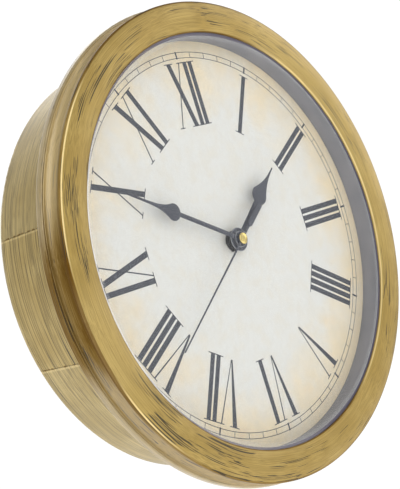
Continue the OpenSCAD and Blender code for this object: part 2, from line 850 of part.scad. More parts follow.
module movement_cover() {
    color(black) face_front() difference() {
        translate([-movement_w / 2, bay_y - bay_wall, movement_rear_h])
            cube([movement_w, movement_top - bay_y + bay_wall, movement_wall]);
        for (at = [third_at, intermediate_at, rotor_at])
            rod(at, pivot_r + pivot_fit, cover_h - movement_wall / 2 - pivot_fit, cover_h + over);
        rod([0, 0], second_shaft_r + pivot_fit, cover_h - movement_wall / 2 - pivot_fit, cover_h + over);
        rod(setting_at, knob_shaft_r + pivot_fit, movement_rear_h - over, cover_h + over);
    }
}

module middle_plate() {
    left = plate_posts[0][0] - plate_margin;
    right = plate_posts[2][0] + plate_margin;
    low = plate_posts[1][1] - plate_margin;
    high = coil_y - coil_r - coil_gap;
    color(ivory) face_front() difference() {
        union() {
            translate([left, low, middle_level]) cube([right - left, high - low, wheel_t]);
            for (at = stator_spacers)
                rod(at, post_r, stator_h + stator_t, middle_level);
        }
        rod([0, 0], minute_shaft_r + pivot_fit, middle_level - over, middle_level + wheel_t + over);
        for (at = [third_at, intermediate_at, rotor_at, motion_at])
            rod(at, pivot_r + pivot_fit, middle_level - over, middle_level + wheel_t + over);
        rod(setting_at, knob_shaft_r + bush_fit, middle_level - over, middle_level + wheel_t + over);
    }
}

module sealing_washer() {
    color(black) face_front() ring(seal_r, bush_r + bush_fit, movement_front_h, seal_t);
}

module nut_washer() {
    color(black) face_front() ring(nut_w / 2, bush_r + bush_fit, dial_h, nut_washer_t);
}

module mounting_nut() {
    color(black) face_front() translate([0, 0, nut_h]) difference() {
        cylinder(r = nut_w / sqrt(3), h = nut_t, $fn = 6);
        translate([0, 0, -over]) cylinder(r = bush_r + pivot_fit, h = nut_t + 2 * over);
    }
}

module battery() {
    color(steel) face_front() translate([-battery_l / 2, battery_y, battery_h]) rotate([0, 90, 0]) {
        cylinder(r = battery_r, h = battery_l);
        cylinder(r = nub_r, h = battery_l + nub_l);
    }
}

// Sheet-metal strips at the two ends of the battery, standing on the housing's front plate
module battery_contacts() {
    reach = [-battery_l / 2 - contact_t - battery_gap, battery_l / 2 + nub_l + battery_gap];
    low = battery_h - contact_w / 2;
    color(steel) face_front()
        for (x = reach)
            translate([x, battery_y - contact_w / 2, low]) cube([contact_t, contact_w, plate_h - low]);
}

module coil() {
    left = arm_left_x + arm_w + coil_inset;
    right = arm_right_x - coil_inset;
    core_h = stator_h + stator_t;
    color(copper) face_front() {
        translate([left, coil_y, core_h + core_t / 2])
            rotate([0, 90, 0]) cylinder(r = coil_r, h = right - left);
        translate([arm_left_x, coil_y - core_w / 2, core_h])
            cube([arm_right_x + arm_w - arm_left_x, core_w, core_t]);
    }
}

module stator() {
    bar_y = rotor_at[1] - stator_bar_w / 2;
    top = coil_y + core_w / 2;
    color(steel) face_front() translate([0, 0, stator_h]) difference() {
        union() {
            translate([arm_left_x, bar_y, 0])
                cube([arm_right_x + arm_w - arm_left_x, stator_bar_w, stator_t]);
            translate([rotor_at[0], rotor_at[1], 0]) cylinder(r = stator_ring_r, h = stator_t);
            for (x = [arm_left_x, arm_right_x])
                translate([x, bar_y, 0]) cube([arm_w, top - bar_y, stator_t]);
        }
        translate([rotor_at[0], rotor_at[1], -over])
            cylinder(r = rotor_magnet_r + stator_gap, h = stator_t + 2 * over);
    }
}

module circuit_board() {
    color("#2f5a3c") face_front()
        translate([board_x, board_y[0], board_h]) cube([board_w, board_y[1] - board_y[0], board_t]);
}

// Turns a hand that is drawn pointing to twelve to its angle, at its height, and bores its hub
module hand(angle, h, bore) {
    translate([0, 0, h]) rotate(-angle) difference() {
        linear_extrude(hand_t) children();
        translate([0, 0, -over]) cylinder(r = bore, h = hand_t + 2 * over);
    }
}

// Outline of a spade hand: hub, stem, round spade, and a point whose width falls off ever more slowly
module spade_outline(hub, stem_w, at, spade, reach) {
    steps = 12;
    start = at + 0.45 * spade;
    wide = 0.89 * spade;
    function edge(t) = hand_tip_w / 2 + (wide - hand_tip_w / 2) * pow(1 - t, 2.4);
    circle(hub);
    translate([-stem_w / 2, 0]) square([stem_w, at]);
    translate([0, at]) circle(spade);
    polygon(concat(
        [for (k = [0 : steps]) [edge(k / steps), start + (reach - start) * k / steps]],
        [for (k = [steps : -1 : 0]) [-edge(k / steps), start + (reach - start) * k / steps]]
    ));
}

module hour_hand() {
    color(slate) face_front() hand(hour_angle, hour_hand_h, hour_shaft_r + pivot_fit)
        spade_outline(hour_hub_r, hour_stem_w, hour_spade_at, hour_spade_r, hour_hand_l);
}

module minute_hand() {
    color(slate) face_front() hand(minute_angle, minute_hand_h, minute_shaft_r + pivot_fit)
        spade_outline(minute_hub_r, minute_stem_w, minute_spade_at, minute_spade_r, minute_hand_l);
}

module second_hand() {
    color(slate) face_front() hand(second_angle, second_hand_h, second_shaft_r + pivot_fit) {
        circle(cap_r);
        polygon([
            [-needle_w / 2, 0], [needle_w / 2, 0],
            [needle_w / 3, second_hand_l], [-needle_w / 3, second_hand_l]
        ]);
        polygon([
            [-needle_w / 2, 0], [-needle_w / 2, -tail_neck_l], [-tail_w / 2, -tail_neck_l - tail_w / 2],
            [-tail_w / 2, -tail_l], [tail_w / 2, -tail_l], [tail_w / 2, -tail_neck_l - tail_w / 2],
            [needle_w / 2, -tail_neck_l], [needle_w / 2, 0]
        ]);
    }
}

// Brass cap on the second hand, domed at its front
module second_cap() {
    low = second_hand_h + hand_t;
    dome_r = (cap_r * cap_r + cap_h * cap_h) / cap_h / 2;
    color(brass) face_front() intersection() {
        translate([0, 0, low + cap_h - dome_r]) sphere(dome_r);
        rod([0, 0], cap_r, low, low + cap_h + over);
    }
}

rear_case();
hinge_panel();
hinge_panel_screws();
hinge_pin();
upper_shelf();
lower_shelf();
catch_magnet();
door_back();
door_screws();
strike_plate();
bezel();
lens();
spacer_ring();
dial();
movement_base();
movement_cover();
middle_plate();
sealing_washer();
nut_washer();
mounting_nut();
battery();
battery_contacts();
coil();
stator();
circuit_board();
rotor();
intermediate_wheel();
second_wheel();
second_hand();
second_cap();
third_wheel();
clutch_wheel();
minute_arbor();
minute_hand();
motion_wheel();
hour_wheel();
hour_hand();
setting_knob();
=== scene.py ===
import bpy
import numpy as np
from mathutils import Matrix


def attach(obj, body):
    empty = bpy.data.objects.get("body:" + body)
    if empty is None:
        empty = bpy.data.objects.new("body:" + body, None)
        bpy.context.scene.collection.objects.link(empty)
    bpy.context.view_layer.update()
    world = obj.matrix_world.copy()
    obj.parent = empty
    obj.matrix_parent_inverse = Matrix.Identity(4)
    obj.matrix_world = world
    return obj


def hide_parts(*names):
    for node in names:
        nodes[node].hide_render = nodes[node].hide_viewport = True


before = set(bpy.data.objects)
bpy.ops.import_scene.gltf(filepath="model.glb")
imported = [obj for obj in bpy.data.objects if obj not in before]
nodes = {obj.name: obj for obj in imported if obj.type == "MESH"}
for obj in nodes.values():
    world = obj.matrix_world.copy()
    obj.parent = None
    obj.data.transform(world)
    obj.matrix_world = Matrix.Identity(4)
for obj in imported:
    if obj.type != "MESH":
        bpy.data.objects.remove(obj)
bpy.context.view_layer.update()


# Rear case: the drum that hangs on the wall, one black moulding with a keyhole in its back, rails for two
# shelves and a holder for the catch magnet. Its outside is gold, dragged on with a nearly dry brush, so the
# black shows through in fine strokes that run round the drum. The inside and the back stay bare.
class Shade:
    """One output of a material's nodes. Arithmetic with numbers or other outputs adds Math nodes."""

    def __init__(self, tree, socket=None):
        self.tree, self.socket = tree, socket

    def node(self, kind, settings, sockets, output=0):
        """A new node of this kind: its settings come first, then the values or links of its sockets"""
        made = self.tree.nodes.new(kind)
        for name, value in settings.items():
            setattr(made, name, value)
        for name, value in sockets.items():
            if isinstance(value, Shade):
                self.tree.links.new(value.socket, made.inputs[name])
            else:
                made.inputs[name].default_value = value
        return Shade(self.tree, made.outputs[output])

    def math(self, operation, *values):
        """A Math node on these values, or on this output alone where none are given"""
        return self.node("ShaderNodeMath", {"operation": operation}, dict(enumerate(values or [self])))

    def __add__(self, other):
        return self.math("ADD", self, other)

    def __radd__(self, other):
        return self.math("ADD", other, self)

    def __sub__(self, other):
        return self.math("SUBTRACT", self, other)

    def __rsub__(self, other):
        return self.math("SUBTRACT", other, self)

    def __mul__(self, other):
        return self.math("MULTIPLY", self, other)

    def __rmul__(self, other):
        return self.math("MULTIPLY", other, self)

    def __truediv__(self, other):
        return self.math("DIVIDE", self, other)

    def __rtruediv__(self, other):
        return self.math("DIVIDE", other, self)

    def __pow__(self, other):
        return self.math("POWER", self, other)

    def __rpow__(self, other):
        return self.math("POWER", other, self)

    def __abs__(self):
        return self.math("ABSOLUTE")

    def rise(self, low, high):
        """0 up to low and 1 from high on, smooth between; it falls instead where low is above high"""
        return self.node("ShaderNodeMapRange", {"interpolation_type": "SMOOTHSTEP"},
                         {"Value": self, "From Min": low, "From Max": high})

    def blend(self, first, second):
        """The first colour where this is 0, the second where it is 1; each is an output or three numbers"""
        first, second = (end if isinstance(end, Shade) else (*end, 1.0) for end in (first, second))
        return self.node("ShaderNodeMix", {"data_type": "RGBA"}, {0: self, 6: first, 7: second}, output=2)

    def feed(self, shader, socket):
        """Links this output to one of the shader's sockets"""
        self.tree.links.new(self.socket, shader.inputs[socket])


def open_finish(name, **sockets):
    """A new material with these constants on its shader. Returns it, the shader, and the surface point as x,
    height over the wall and z in millimetres"""
    finish = bpy.data.materials.new(name)
    finish.use_nodes = True
    shader = finish.node_tree.nodes["Principled BSDF"]
    for socket, value in sockets.items():
        shader.inputs[socket.replace("_", " ")].default_value = value
    point = Shade(finish.node_tree).node("ShaderNodeTexCoord", {}, {}, output="Object")
    x, y, z = (point.node("ShaderNodeSeparateXYZ", {}, {0: point}, output=axis) for axis in "XYZ")
    return finish, shader, (x * 1000.0, y * -1000.0, z * 1000.0)


def from_axis(x, z):
    """Distance from the clock's axis"""
    return (x * x + z * z) ** 0.5


def noise(place, size, detail=2.0, roughness=0.5):
    """Cloudy noise about 0.5 over three or four coordinates. size is how far one patch reaches, as one number
    for all coordinates or one for each"""
    scaled = [axis / reach for axis, reach in zip(place, np.broadcast_to(size, len(place)).tolist())]
    point = scaled[0].node("ShaderNodeCombineXYZ", {}, dict(enumerate(scaled[:3])))
    sockets = {"Vector": point, "Scale": 1.0, "Detail": detail, "Roughness": roughness}
    if len(scaled) == 3:
        return point.node("ShaderNodeTexNoise", {}, sockets)
    return point.node("ShaderNodeTexNoise", {"noise_dimensions": "4D"}, sockets | {"W": scaled[3]})


def relief(shader, height, depth):
    """Raises the surface by the height, 0 to 1, times a depth in millimetres"""
    bump = height.node("ShaderNodeBump", {}, {"Height": height, "Distance": depth / 1000, "Strength": 1.0})
    bump.feed(shader, "Normal")


def darker(colour, share):
    """The colour with this share of its light"""
    return tuple(part * share for part in colour)


def dry_brushed(name, gold, pale, stroke, hair, sway, missed, contrast, coat, bare_at, dark_at,
                bright_at=None, missed_at=None, matt_at=None, start=0.0):
    """Gold paint over black. Its strokes are noise drawn out along the ring, stroke mm long, hair mm wide and
    swaying over a width of sway mm, and black shows where that noise passes a limit. In patches the limit is
    lower by missed, so the strokes gather there; start picks other patches. contrast is how far the bristles
    darken the gold, and coat is the weight of the varnish.

    The functions take a point's x, height, z and radius: bare_at tells where no paint is, dark_at where it is
    brown, which is partly painted shade, bright_at where there are painted highlights and thick gold,
    missed_at how far the patches count, and matt_at where the varnish has come off."""
    # The brown also paints shade, and the bright gold paints highlights as well as thick gold.
    brown, highlight_and_thick_gold = (0.150, 0.074, 0.009), (1.0, 0.78, 0.36)
    undercoat, plastic = (0.040, 0.031, 0.018), (0.016, 0.016, 0.017)
    stroke_ring_r = 116.0
    sway_size, patch_size, cloud_size = (36.0, 36.0, 12.0), (30.0, 30.0, 5.0, 5.0), 20.0
    line_size = (stroke, stroke, hair, hair)
    bristle_size = (2 * stroke, 2 * stroke, 0.6 * hair, 0.6 * hair)
    finish, shader, (x, h, z) = open_finish(name, Specular_IOR_Level=0.3, Coat_Roughness=0.28, Coat_IOR=2.0)
    r = from_axis(x, z)
    place = x, h, z, r

    ring_x, ring_z = x / r * stroke_ring_r, z / r * stroke_ring_r
    aside = (noise((ring_x, ring_z, r + h), sway_size, detail=0.0) - 0.5) * sway
    out, up = r + aside, h + aside
    patch = noise((ring_x + start, ring_z, out, up), patch_size, detail=1.5).rise(0.46, 0.58)
    lines = noise((ring_x, ring_z, out, up), line_size, detail=0.0)
    bristles = noise((ring_x, ring_z, out, up), bristle_size, roughness=0.7)
    cloud = noise((x, h, z), cloud_size, detail=3.0)

    if missed_at:
        patch = patch * missed_at(*place)
    limit = 0.80 - patch * missed
    black = lines.rise(limit, limit + 0.05) * 0.9
    bare = bare_at(*place)
    # Brown, partly painted shade, a little weaker along the bristles
    dark = dark_at(*place) * (1.0 - bristles.rise(0.45, 0.75) * 0.3)
    dark = dark.math("MINIMUM", dark, 1.0)
    covered = (1.0 - black) * (1.0 - bare)

    paint = cloud.rise(0.32, 0.68).blend(gold, pale)
    paint = bristles.rise(0.60, 0.34).blend(paint, darker(gold, 1 - contrast))
    paint = dark.blend(paint, brown)
    paint = black.blend(paint, undercoat)
    rough = 0.60
    # Painted highlights, and thick gold, broken by the bristles
    if bright_at:
        bright = bright_at(*place) * bristles.rise(0.15, 0.5)
        paint = bright.blend(paint, highlight_and_thick_gold)
        rough = rough - bright * 0.2
    if matt_at:
        coat = (1.0 - matt_at(*place) * 0.94) * coat
    bare.blend(paint, plastic).feed(shader, "Base Color")
    (covered * (0.42 + dark * 0.45)).feed(shader, "Metallic")
    (dark.rise(0.7, 0.1) * (1.0 - bare) * coat).feed(shader, "Coat Weight")
    (rough - covered * 0.12 + bristles * 0.06).feed(shader, "Roughness")
    relief(shader, bristles / 2.0 - black / 1.5, 0.03)
    return finish


def wear(finish, *names):
    """Gives these CAD nodes a material"""
    for name in names:
        nodes[name].material_slots[0].material = finish


# The drum widens by 1.8 mm over the 45.7 mm of its side, and its seams lie 17.4 degrees above and below its
# leftmost line.
taper = 1.8 / 45.7
wall_r = 110.0
seam_up = wall_r * np.radians(17.4)


def inside_bare(x, h, z, r):
    """Bare from the inner wall inwards"""
    return (r - h * taper).rise(107.4, 106.5)


def up_the_wall(x, z):
    """The way up along the drum's wall from its leftmost line, in millimetres"""
    return z.math("ARCTAN2", z, x * -1.0) * wall_r


def seam_flecks(x, h, z, r):
    """Dark flecks along the seams, where the paint missed the gap"""
    apart = abs(abs(up_the_wall(x, z)) - seam_up)
    return apart.rise(0.9, 0.2) * noise((x, h, z), 2.2).rise(0.42, 0.62) * 0.8


def seam_highlight(x, h, z, r):
    """A painted highlight on the lower lip of each seam, which faces up"""
    way = up_the_wall(x, z)
    above_seams = way - seam_up, way + seam_up
    upper, lower = (above.rise(-1.5, -1.1) * above.rise(0.0, -0.4) for above in above_seams)
    return (upper + lower) * 0.3


def drum_dark(x, h, z, r):
    """The seams' flecks, and darker towards the drum's back edge"""
    return seam_flecks(x, h, z, r) + h.rise(2.5, 0.0) * 0.8


drum_paint = dry_brushed("drum_gold", gold=(0.47, 0.345, 0.115), pale=(0.565, 0.435, 0.175),
                         stroke=22.0, hair=0.7, sway=1.5, missed=0.08, contrast=0.5, coat=0.35,
                         bare_at=inside_bare, dark_at=drum_dark, bright_at=seam_highlight)
wear(drum_paint, "rear_case")


# Hinge panel: a separate piece of the drum's wall that carries the fixed hinge knuckle, held from inside by
# four screws through its flange. It was brushed on its own, so its strokes are straighter and closer.
panel_paint = dry_brushed("panel_gold", gold=(0.465, 0.335, 0.108), pale=(0.575, 0.435, 0.168),
                          stroke=60.0, hair=0.9, sway=1.0, missed=0.08, contrast=0.62, coat=0.2,
                          bare_at=inside_bare, dark_at=seam_flecks, bright_at=seam_highlight)
wear(panel_paint, "hinge_panel")


# Hinge panel screws: small pan heads with a cross recess, zinc plated steel. Each is driven outwards through
# the panel's flange into the drum's wall.
def zinc(name, tint, rough):
    """Bright plating with faint clouds in its colour and rub marks in its gloss"""
    finish, shader, place = open_finish(name, Metallic=1.0)
    cloud = noise(place, 1.6, detail=3.0)
    rub = noise(place, (0.15, 2.0, 0.4))
    cloud.rise(0.3, 0.7).blend(darker(tint, 0.82), tint).feed(shader, "Base Color")
    (rough + rub * 0.16).feed(shader, "Roughness")
    relief(shader, rub, 0.004)
    return finish


def grid_faces(rows, columns, ring=False, tube=False):
    """Quads over points numbered row by row; ring joins the last column to the first, tube the last row"""
    i = np.arange(rows if tube else rows - 1)[:, None]
    j = np.arange(columns if ring else columns - 1)[None, :]
    below, right = (i + 1) % rows, (j + 1) % columns
    corners = [i * columns + j, i * columns + right, below * columns + right, below * columns + j]
    return np.stack(np.broadcast_arrays(*corners), -1).reshape(-1, 4)


def capped(rows):
    """A shape, which is points and blocks of faces, from rows of points that are closed rings: quads between
    the rings and a flat cap on the first and the last"""
    count, columns = rows.shape[:2]
    first = np.arange(columns)
    caps = np.stack([first[::-1], (count - 1) * columns + first])
    return rows.reshape(-1, 3), [grid_faces(count, columns, ring=True), caps]


def joined(shapes):
    """One shape from several"""
    points = [some for some, _ in shapes]
    starts = np.cumsum([0] + [len(some) for some in points])
    blocks = [block + start for (_, some), start in zip(shapes, starts) for block in some]
    return np.concatenate(points), blocks


def swept(r, h, segments):
    """Rings of points (x, height, z) about the clock's axis, one for each radius and height"""
    r, h = np.asarray(r, float)[:, None], np.asarray(h, float)[:, None]
    turn = np.linspace(0, 2 * np.pi, segments, endpoint=False)
    return np.stack([r * np.cos(turn), h + 0 * turn, r * np.sin(turn)], -1)


def cross_screw(rings, recess_r, recess_w, depth):
    """A screw along +z with its head's face at z = 0. rings is its profile (radius, z) from the face's rim to
    the tip. The face is a polar grid, pressed in by depth where a point lies in a cross recess_w wide and
    recess_r long, with sloping sides and ends"""
    segments, face_rings = 48, 14
    face_r = rings[0][0] * np.linspace(0.04, 1.0, face_rings)
    face = swept(face_r, 0 * face_r, segments)[..., [0, 2, 1]]
    x, y, _ = np.moveaxis(face, -1, 0)
    past_side = np.clip((np.minimum(abs(x), abs(y)) - 0.5 * recess_w) / (0.25 * recess_w), 0, 1)
    past_end = np.clip((np.hypot(x, y) - 0.8 * recess_r) / (0.2 * recess_r), 0, 1)
    face[..., 2] = depth * (1 - past_side) * (1 - past_end)
    side = swept(*np.transpose(rings), segments)[..., [0, 2, 1]]
    return capped(np.concatenate([face, side]))


def place_all(shape, at, along):
    """One shape many times: its z axis turned to each row of along and its zero put at each row of at. Any
    direction aslant to the z axis will do to find the other two."""
    points, blocks = shape
    aslant = np.roll(along, 1, axis=1) + [0.3, 0.5, 0.1]
    side = np.cross(along, aslant)
    side /= np.linalg.norm(side, axis=1, keepdims=True)
    axes = np.stack([side, np.cross(along, side), along], 1)
    copies = np.einsum("pk,nkc->npc", points, axes) + at[:, None, :]
    return joined([(copy, blocks) for copy in copies])


def make_piece(name, shape, finish, body, smooth=True):
    """A piece from a shape in millimetres (x, height over the wall, z up), riding on a body"""
    points, blocks = shape
    x, h, z = points.T
    mesh = bpy.data.meshes.new(name)
    faces = [face for block in blocks for face in block.tolist()]
    mesh.from_pydata((np.stack([x, -h, z], 1) / 1000).tolist(), [], faces)
    mesh.polygons.foreach_set("use_smooth", np.full(len(mesh.polygons), smooth))
    mesh.materials.append(finish)
    piece = bpy.data.objects.new(name, mesh)
    bpy.context.scene.collection.objects.link(piece)
    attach(piece, body)
    return piece


plating = zinc("zinc_plating", (0.60, 0.62, 0.65), 0.22)
drum_r, drum_front, wall = 111.0, 48.7, 3.0
flange, head_h = 2.5, 1.4
pan_head = [(2.0, 0.0), (2.25, 0.12), (2.4, 0.4), (2.4, head_h), (1.2, head_h), (1.2, 5.5), (0.9, 5.85)]
screw_h = np.array([13.0, 36.7, 13.0, 36.7])
screw_turn = np.radians(180 + 18.9 * np.array([-1, -1, 1, 1]))
outwards = np.stack([np.cos(screw_turn), 0 * screw_turn, np.sin(screw_turn)], 1)
face_r = drum_r - taper * (drum_front - screw_h) - wall - flange - head_h
face_at = outwards * face_r[:, None] + screw_h[:, None] * [0, 1, 0]
pan_screw = cross_screw(pan_head, recess_r=1.5, recess_w=0.55, depth=0.7)
panel_screws = make_piece("panel_screws", place_all(pan_screw, face_at, outwards), plating, "case")
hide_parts("hinge_panel_screws")


# Hinge pin: a plain headed steel pin, zinc plated like the screws. It is pushed down from above through the
# panel's knuckle and the door's two.
wear(plating, "hinge_pin")


# Shelves: two flat sheets of black plastic with a fine matt grain from the mould, slid into the drum's rails
# from the front.
def moulded(name, colour, rough, grain, depth):
    """Moulded plastic: a spark-eroded grain of that size in millimetres, and slow changes of gloss"""
    finish, shader, place = open_finish(name)
    pits = noise(place, grain, detail=1.5)
    gloss = noise(place, 14.0)
    gloss.rise(0.3, 0.7).blend(darker(colour, 0.88), colour).feed(shader, "Base Color")
    (rough + (gloss - 0.5) * 0.16 + (pits - 0.5) * 0.08).feed(shader, "Roughness")
    relief(shader, pits, depth)
    return finish


shelf_plastic = moulded("shelf_plastic", (0.020, 0.020, 0.021), rough=0.58, grain=0.45, depth=0.035)
wear(shelf_plastic, "upper_shelf", "lower_shelf")


# Catch: a nickel plated disc magnet pressed into its holder in the drum, and a zinc plated strike plate glued
# to the door's back. They hold the door shut across a small gap.
wear(zinc("nickel_plating", (0.66, 0.63, 0.58), 0.12), "catch_magnet")
wear(plating, "strike_plate")


# Door back: the plate behind the dial with the door's two hinge knuckles, a black moulding. Only the band
# round its rim was brushed with gold, together with the bezel.
def rim_bare(x, h, z, r):
    """All but the band round the rim"""
    return r.rise(122.5, 119.0)


def rim_shade(x, h, z, r):
    """Painted shade: brown at the left, as in the bezel's cove beside it"""
    return x.rise(-80.0, -110.0) * z.rise(-62.0, -20.0) * z.rise(48.0, 5.0) * 0.85


rim_paint = dry_brushed("rim_gold", gold=(0.45, 0.32, 0.105), pale=(0.53, 0.40, 0.165),
                        stroke=30.0, hair=0.5, sway=2.0, missed=0.2, contrast=0.4, coat=1.0,
                        bare_at=rim_bare, dark_at=rim_shade)
wear(rim_paint, "door_back")


# Door screws: six countersunk screws with a cross recess, driven from behind through the door's back into the
# bezel, zinc plated steel.
sunk_head = [(2.72, 0.0), (2.8, 0.08), (1.5, 1.8), (1.5, 9.4), (0.9, 10.0)]
sunk_screw = cross_screw(sunk_head, recess_r=1.9, recess_w=0.7, depth=0.9)
ring_r, back_face = 115.3, 49.0
ring_turn = np.radians(np.arange(6) * 60 + 30)
ring_at = np.stack([ring_r * np.cos(ring_turn), 0 * ring_turn + back_face, ring_r * np.sin(ring_turn)], 1)
forwards = np.tile([0.0, 1.0, 0.0], (6, 1))
door_screws = make_piece("bezel_screws", place_all(sunk_screw, ring_at, forwards), plating, "door")
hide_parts("door_screws")


# Movement housing, its cover and the setting knob: black mouldings with a fine grain. The cover clips on
# behind and the knob turns in it; the washer between housing and door is soft rubber.
housing_plastic = moulded("housing_plastic", (0.018, 0.018, 0.020), rough=0.50, grain=0.30, depth=0.02)
wear(housing_plastic, "movement_base", "movement_cover")
wear(moulded("knob_plastic", (0.024, 0.024, 0.026), rough=0.42, grain=0.20, depth=0.012), "setting_knob")
wear(moulded("seal_rubber", (0.014, 0.014, 0.014), rough=0.82, grain=0.25, depth=0.02), "sealing_washer")


# Wheels and middle plate: acetal, moulded in one piece with their pinions, waxy and slightly see-through.
# They turn on their own small pivots between the cover, the middle plate and the housing.
def acetal(name, colour):
    """Waxy plastic with faint flow marks in its colour and gloss"""
    finish, shader, place = open_finish(name, Subsurface_Weight=0.12, Subsurface_Scale=0.0006)
    flow = noise(place, (3.0, 1.0, 3.0))
    flow.rise(0.3, 0.7).blend(darker(colour, 0.9), colour).feed(shader, "Base Color")
    (0.30 + flow * 0.12).feed(shader, "Roughness")
    return finish


wear(acetal("ivory_acetal", (0.74, 0.69, 0.57)), "intermediate_wheel", "second_wheel", "third_wheel",
     "clutch_wheel", "motion_wheel", "hour_wheel")
wear(acetal("white_acetal", (0.78, 0.77, 0.72)), "middle_plate")


# Motor: a stator of bare steel sheet, a rotor with a small sintered magnet, and a coil of fine enamelled
# copper wire on a steel core. The wire lies in close turns across the coil.
def rolled_sheet(name):
    """Bare steel with the fine lines of the rolling mill along x"""
    finish, shader, place = open_finish(name, Metallic=1.0)
    rolled = noise(place, (6.0, 0.1, 0.12))
    rolled.rise(0.25, 0.75).blend((0.36, 0.36, 0.36), (0.52, 0.52, 0.53)).feed(shader, "Base Color")
    (0.32 + rolled * 0.2).feed(shader, "Roughness")
    return finish


def wound_wire(name, pitch):
    """Enamelled copper in turns that follow each other along x, painted highlight on top and painted shade
    between
    """
    finish, shader, place = open_finish(name, Metallic=0.9, Coat_Weight=0.6, Coat_Roughness=0.1)
    turns = (place[0] * (2 * np.pi / pitch)).math("SINE") * 0.5 + 0.5
    lay = noise(place, (0.5, 2.0, 2.0), detail=1.0)
    lit = (turns * 0.6 + lay * 0.4).rise(0.2, 0.9)
    lit.blend((0.26, 0.08, 0.03), (0.62, 0.25, 0.10)).feed(shader, "Base Color")
    (0.42 - turns * 0.14).feed(shader, "Roughness")
    relief(shader, turns, 0.06)
    return finish


wear(rolled_sheet("stator_sheet"), "stator")
wear(zinc("sintered_magnet", (0.30, 0.30, 0.31), 0.42), "rotor")
wear(wound_wire("enamelled_wire", pitch=0.16), "coil")


# Circuit board and battery: a small board under green resist, and a standard cell in a plain sleeve, black
# with a copper-coloured band at its positive end. Two strips of plated spring steel touch the cell's ends.
def resist_board(name, track_pitch):
    """Green resist over copper tracks along x, with the glass cloth's weave in its gloss"""
    finish, shader, (x, _, z) = open_finish(name, Coat_Weight=0.3, Coat_Roughness=0.2)
    weave = (x * 9.0).math("SINE") * (z * 9.0).math("SINE")
    tracks = abs((z / track_pitch).math("FRACT") - 0.5).rise(0.2, 0.16)
    tracks.blend((0.010, 0.075, 0.032), (0.020, 0.14, 0.06)).feed(shader, "Base Color")
    (0.40 + weave * 0.06).feed(shader, "Roughness")
    relief(shader, tracks * 0.7 + weave * 0.1, 0.03)
    return finish


def cell_sleeve(name, sleeve_end, band_start):
    """A printed sleeve between bare steel ends, with scuffs along the cell"""
    finish, shader, (x, h, z) = open_finish(name, Coat_Weight=0.4, Coat_Roughness=0.12)
    sleeve = x.rise(-sleeve_end, 0.2 - sleeve_end) * x.rise(sleeve_end, sleeve_end - 0.2)
    band = x.rise(band_start, band_start + 0.1)
    scuff = noise((x, h, z), (6.0, 0.5, 0.5), detail=3.0)
    printed = band.blend((0.022, 0.022, 0.025), (0.50, 0.25, 0.10))
    sleeve.blend((0.62, 0.62, 0.62), printed).feed(shader, "Base Color")
    (1.0 - sleeve * (1.0 - band * 0.8)).feed(shader, "Metallic")
    (0.22 + scuff * 0.2).feed(shader, "Roughness")
    return finish


wear(resist_board("green_board", track_pitch=1.6), "circuit_board")
wear(cell_sleeve("cell_sleeve", sleeve_end=23.7, band_start=13.0), "battery")
wear(zinc("spring_contacts", (0.66, 0.66, 0.64), 0.20), "battery_contacts")


# Dial: a printed card glued to the door's back. Its ground is a pale grey that has aged to warm beige towards
# the rim, with blotches and a faint weave of paper fibres.
def aged_card(name, radius):
    """Grey in the middle, beige outside, the border between them moved in and out by blots; then darker
    stains and a mottle, both stronger where it has aged, and crossed fibres all over"""
    finish, shader, (x, h, z) = open_finish(name, Specular_IOR_Level=0.3)
    blot = noise((x, h, z), (26.0, 1.0, 26.0), detail=4.0, roughness=0.6)
    stain = noise((x + 77.0, h, z), (11.0, 1.0, 11.0), detail=3.0)
    mottle = noise((x, h + 4.0, z), (6.0, 1.0, 6.0), detail=5.0, roughness=0.6)
    fibre = noise((x, h, z), (2.4, 1.0, 0.35)) + noise((x, h + 9.0, z), (0.35, 1.0, 2.4))
    age = (from_axis(x, z) / radius + (blot - 0.5) * 0.8).rise(0.58, 1.06)
    ground = age.blend((0.785, 0.795, 0.765), (0.885, 0.752, 0.51))
    ground = (stain.rise(0.56, 0.74) * age * 0.45).blend(ground, (0.82, 0.66, 0.44))
    ground = (mottle.rise(0.42, 0.66) * (0.22 + age * 0.2)).blend(ground, (0.74, 0.66, 0.49))
    ground = ((fibre * 0.5).rise(0.60, 0.40) * 0.28).blend(ground, (0.60, 0.58, 0.53))
    ground.feed(shader, "Base Color")
    (0.70 + (blot - 0.5) * 0.12).feed(shader, "Roughness")
    relief(shader, fibre * 0.5, 0.02)
    return finish


wear(aged_card("dial_card", radius=106.0), "dial")


# Dial print: Roman numerals with their feet to the middle and a double minute ring, screen printed in slate
# ink. The ink stands a few hundredths of a millimetre proud of the card, each kind of stroke by another
# amount, so that strokes may cross.
dial_face, sunk = 52.3, 0.02
heavy_ink, thin_ink, ring_ink, serif_ink, mark_ink = 0.04, 0.034, 0.03, 0.028, 0.022
foot, head = 62.0, 95.4
track_in, track_out = 97.9, 100.9

# For each hour, how far aside its upright bars stand, and the outer end of the heavy leg of its V or its X.
bars = {1: [0], 2: [-2, 2], 3: [-4, 0, 4], 4: [-5.9, -2, 2, 5.9], 6: [6.8], 7: [4.4, 8.4], 8: [1.8, 5.8, 9.8],
        9: [-6.6], 11: [5.9], 12: [4.4, 8.4]}
vees = {5: -4.8, 6: -8.0, 7: -10.2, 8: -12.2}
crosses = {9: -1.2, 10: -4.0, 11: -6.8, 12: -8.0}


def stroke(hour, low, low_w, high, high_w, lift, inner=foot, outer=head):
    """One stroke of a numeral: its hour, then centre and width at its inner and its outer end, how far the
    ink stands up, and the radii of the two ends"""
    return [hour, low, low_w, high, high_w, lift, inner, outer]


def serif(hour, at, length, radius):
    """A short bar across a stroke's end"""
    return stroke(hour, at, length, at, length, serif_ink, radius - 0.25, radius + 0.25)


